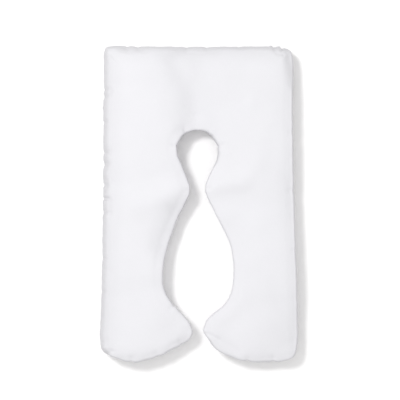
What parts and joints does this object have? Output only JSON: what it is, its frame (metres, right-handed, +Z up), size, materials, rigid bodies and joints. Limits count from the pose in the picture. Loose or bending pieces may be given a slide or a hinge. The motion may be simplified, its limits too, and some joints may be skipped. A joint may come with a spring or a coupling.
{
  "type": "body pillow",
  "caption": "U-shaped filled body pillow of white cloth with a round head opening, a narrow neck and a tapered gap between two legs.",
  "frame": {"origin": "centre of the bounding box in plan, on the flat surface that the pillow lies on", "axes": "+Y along the legs to the closed head end, +X to the right leg as seen from above with the head end up, +Z up out of the top panel"},
  "size_m": [0.944, 1.5003, 0.1891],
  "materials": {
    "white_cloth": "matt plain-weave white cotton"
  },
  "bodies": {
    "root": {"body_pillow": "white_cloth"}
  },
  "joints": []
}
